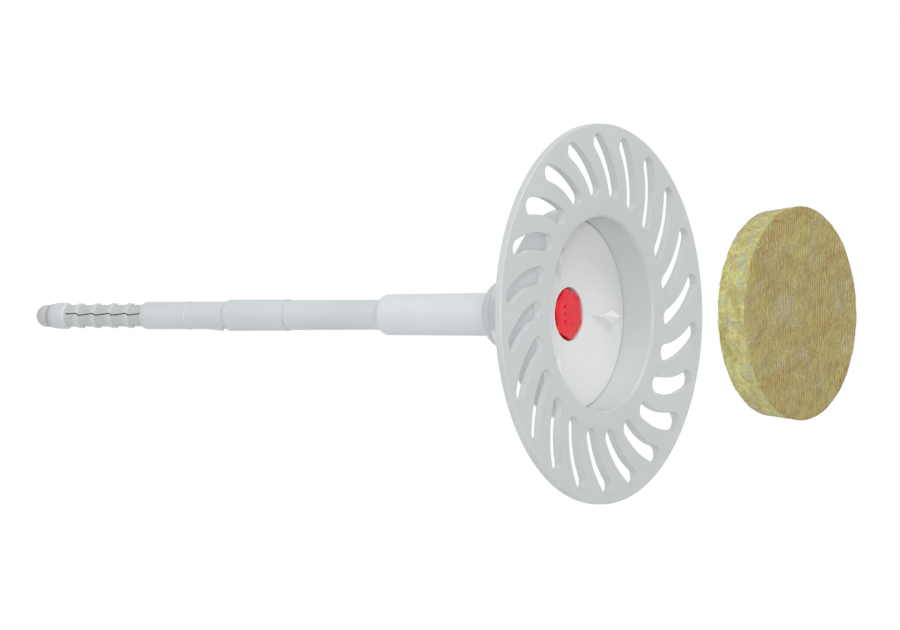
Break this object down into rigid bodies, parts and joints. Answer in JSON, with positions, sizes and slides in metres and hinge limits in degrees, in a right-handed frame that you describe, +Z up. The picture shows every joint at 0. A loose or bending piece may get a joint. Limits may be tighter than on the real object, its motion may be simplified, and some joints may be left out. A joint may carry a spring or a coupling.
{
  "type": "facade insulation anchor",
  "caption": "Countersunk facade insulation anchor: slotted holding plate with a recessed cup, telescopic tube, barbed expansion sleeve, hexagon-headed drive screw and a mineral wool cover cap.",
  "frame": {"origin": "on the anchor's axis, in the middle of the plain 8 mm stretch of the sleeve that the drilled hole grips", "axes": "the axis lies level along X as in use, +X out of the wall towards the plate and cap, +Z up, +Y to the right-hand side of someone who faces the plate"},
  "size_m": [0.2623, 0.11, 0.11],
  "materials": {
    "plate_grey": "fine satin moulded",
    "disc_grey": "fine satin moulded",
    "sleeve_grey": "satin moulded",
    "screw_red": "glossy moulded",
    "screw_steel": "zinc plated",
    "mineral_wool": "fibrous pressed wool"
  },
  "bodies": {
    "sleeve": {"expansion_sleeve": "sleeve_grey"},
    "plate": {"insulation_plate": "plate_grey", "anchor_disc": "disc_grey"},
    "screw": {"drive_shaft": "screw_red", "steel_screw": "screw_steel"},
    "cap": {"wool_cap": "mineral_wool"}
  },
  "joints": [
    {"name": "plate_slide", "type": "slide", "parent": "sleeve", "child": "plate", "axis": [-1, 0, 0], "range_m": [0, 0.0318]},
    {"name": "screw_turn", "type": "hinge", "parent": "plate", "child": "screw", "pos_m": [0.138, 0, 0], "axis": [-1, 0, 0], "range_deg": [0, 3816.5]},
    {"name": "cap_push", "type": "slide", "parent": "plate", "child": "cap", "axis": [-1, 0, 0], "range_m": [0, 0.067], "deforming": ["wool_cap"]}
  ],
  "couplings": [
    {"joint": "screw_turn", "follows": "plate_slide", "rad_per_m": 2094.4}
  ]
}
